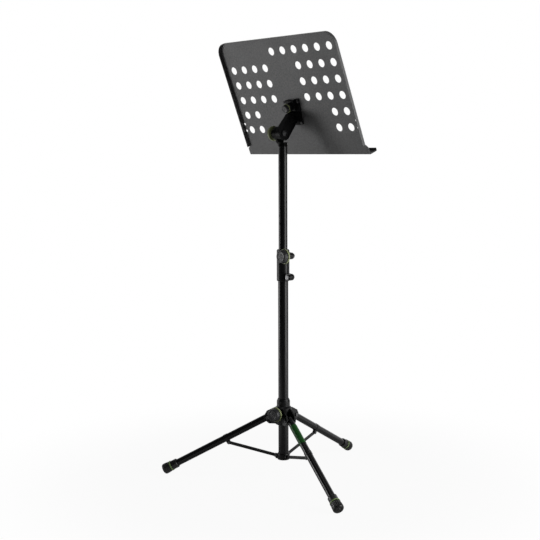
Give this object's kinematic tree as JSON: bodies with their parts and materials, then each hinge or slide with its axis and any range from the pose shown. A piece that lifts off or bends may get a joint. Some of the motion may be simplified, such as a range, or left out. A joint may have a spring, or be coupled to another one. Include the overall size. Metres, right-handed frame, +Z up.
{
  "type": "music stand",
  "caption": "Folding music stand: perforated steel desk with a lip on a jointed arm, telescopic column with clamp clutch, sliding hub tripod with braces and rubber feet",
  "frame": {"origin": "Middle of the open stand's box on the floor, so the column stands off the origin because the three legs reach unevenly about the desk's axes", "axes": "+Z up along the column. The desk's width runs along X, the player sits on the -Y side, and the desk's back faces +Y"},
  "size_m": [0.6192, 0.6029, 1.2612],
  "materials": {
    "tube_black": "gloss black stove enamel on steel tube",
    "brace_black": "semi-gloss black enamel on steel strip",
    "desk_sheet": "fine-textured dark grey powder coat on steel sheet",
    "cast_grey": "die casting with matt dark grey paint",
    "cast_black": "die casting with satin black paint",
    "moulded_black": "glass-filled nylon, satin",
    "knob_charcoal": "soft-grip moulding, matt charcoal",
    "ring_green": "satin yellow-green moulding",
    "foot_ring_green": "satin pale green moulding",
    "foot_rubber": "moulded rubber",
    "band_green": "plain printed film",
    "nylon_black": "plain nylon",
    "fastener_steel": "blackened zinc plate"
  },
  "bodies": {
    "column": {"lower_tube": "tube_black", "base_bracket": "moulded_black", "base_pins": "fastener_steel", "clutch_sleeve": "moulded_black", "clutch_bush": "nylon_black", "lock_bolt": "fastener_steel", "lock_nut": "fastener_steel", "clutch_bolt": "fastener_steel"},
    "clutch_knob": {"clutch_knob": "knob_charcoal", "clutch_ring": "ring_green"},
    "hub": {"leg_hub": "moulded_black", "leg_pins": "fastener_steel"},
    "hub_knob": {"hub_knob": "knob_charcoal", "hub_ring": "ring_green", "hub_screw": "fastener_steel"},
    "brace_left": {"brace_left": "brace_black"},
    "brace_right": {"brace_right": "brace_black"},
    "brace_front": {"brace_front": "brace_black"},
    "leg_left": {"leg_tube_left": "tube_black", "leg_plug_left": "nylon_black", "foot_left": "foot_rubber", "foot_ring_left": "foot_ring_green", "brace_lug_left": "brace_black", "lug_pin_left": "fastener_steel"},
    "leg_right": {"leg_tube_right": "tube_black", "leg_plug_right": "nylon_black", "foot_right": "foot_rubber", "foot_ring_right": "foot_ring_green", "brace_lug_right": "brace_black", "lug_pin_right": "fastener_steel"},
    "leg_front": {"leg_tube_front": "tube_black", "leg_plug_front": "nylon_black", "foot_front": "foot_rubber", "foot_ring_front": "foot_ring_green", "brace_lug_front": "brace_black", "lug_pin_front": "fastener_steel", "leg_band": "band_green"},
    "mast_guide": {"guide_bush": "nylon_black"},
    "mast": {"upper_tube": "tube_black", "mast_plug": "nylon_black", "mast_head": "cast_grey", "arm_bolt": "fastener_steel"},
    "arm": {"arm": "cast_black", "arm_washers": "nylon_black", "tilt_washers": "nylon_black"},
    "arm_knob": {"arm_knob": "knob_charcoal", "arm_ring": "ring_green"},
    "desk": {"desk_plate": "desk_sheet", "desk_bracket": "cast_black", "bracket_rivets": "fastener_steel", "desk_stud": "fastener_steel", "tilt_bolt": "fastener_steel", "tilt_nut": "fastener_steel"},
    "desk_knob": {"desk_knob": "knob_charcoal", "desk_knob_ring": "ring_green"}
  },
  "joints": [
    {"name": "clutch_knob_turn", "type": "hinge", "parent": "column", "child": "clutch_knob", "pos_m": [0.00656, 0.05283, 0.6515], "axis": [0, 1, 0], "range_deg": [0, 360]},
    {"name": "hub_slide", "type": "slide", "parent": "column", "child": "hub", "axis": [0, 0, 1], "range_m": [0, 0.16781]},
    {"name": "hub_knob_turn", "type": "hinge", "parent": "hub", "child": "hub_knob", "pos_m": [0.03551, 0.05283, 0.19437], "axis": [-0.2079, 0.9781, 0], "range_deg": [0, 360]},
    {"name": "brace_left_swing", "type": "hinge", "parent": "column", "child": "brace_left", "pos_m": [0.0526, 0.06822, 0.066], "axis": [-0.6691, 0.7431, 0], "range_deg": [-73.7, 0]},
    {"name": "leg_left_swing", "type": "hinge", "parent": "brace_left", "child": "leg_left", "pos_m": [0.15499, 0.16041, 0.09965], "axis": [-0.6691, 0.7431, 0], "range_deg": [0, 135.3]},
    {"name": "brace_right_swing", "type": "hinge", "parent": "column", "child": "brace_right", "pos_m": [0.04029, 0.03033, 0.066], "axis": [0.9781, 0.2079, 0], "range_deg": [-73.7, 0]},
    {"name": "leg_right_swing", "type": "hinge", "parent": "brace_right", "child": "leg_right", "pos_m": [0.06894, -0.10443, 0.09965], "axis": [0.9781, 0.2079, 0], "range_deg": [0, 135.3]},
    {"name": "brace_front_swing", "type": "hinge", "parent": "column", "child": "brace_front", "pos_m": [0.01363, 0.05994, 0.066], "axis": [-0.309, -0.9511, 0], "range_deg": [-73.7, 0]},
    {"name": "leg_front_swing", "type": "hinge", "parent": "brace_front", "child": "leg_front", "pos_m": [-0.1174, 0.10251, 0.09965], "axis": [-0.309, -0.9511, 0], "range_deg": [0, 135.3]},
    {"name": "mast_slide", "type": "slide", "parent": "column", "child": "mast_guide", "axis": [0, 0, 1], "range_m": [-0.285, 0.24]},
    {"name": "mast_swivel", "type": "hinge", "parent": "mast_guide", "child": "mast", "pos_m": [0.03551, 0.05283, 0.8605], "axis": [0, 0, 1], "continuous": true},
    {"name": "arm_tilt", "type": "hinge", "parent": "mast", "child": "arm", "pos_m": [0.03551, 0.05283, 0.9975], "axis": [1, 0, 0], "range_deg": [-48, 7]},
    {"name": "arm_knob_turn", "type": "hinge", "parent": "mast", "child": "arm_knob", "pos_m": [0.07161, 0.05283, 0.9975], "axis": [1, 0, 0], "range_deg": [0, 360]},
    {"name": "desk_tilt", "type": "hinge", "parent": "arm", "child": "desk", "pos_m": [0.03551, 0.02205, 1.0369], "axis": [1, 0, 0], "range_deg": [-25, 10]},
    {"name": "desk_knob_turn", "type": "hinge", "parent": "desk", "child": "desk_knob", "pos_m": [0.03551, 0.03479, 1.06842], "axis": [0, 0.9272, -0.3746], "range_deg": [0, 360]}
  ],
  "couplings": [
    {"joint": "brace_left_swing", "follows": "hub_slide", "rad_per_m": -7.66},
    {"joint": "leg_left_swing", "follows": "hub_slide", "rad_per_m": 14.067},
    {"joint": "brace_right_swing", "follows": "hub_slide", "rad_per_m": -7.66},
    {"joint": "leg_right_swing", "follows": "hub_slide", "rad_per_m": 14.067},
    {"joint": "brace_front_swing", "follows": "hub_slide", "rad_per_m": -7.66},
    {"joint": "leg_front_swing", "follows": "hub_slide", "rad_per_m": 14.067}
  ]
}
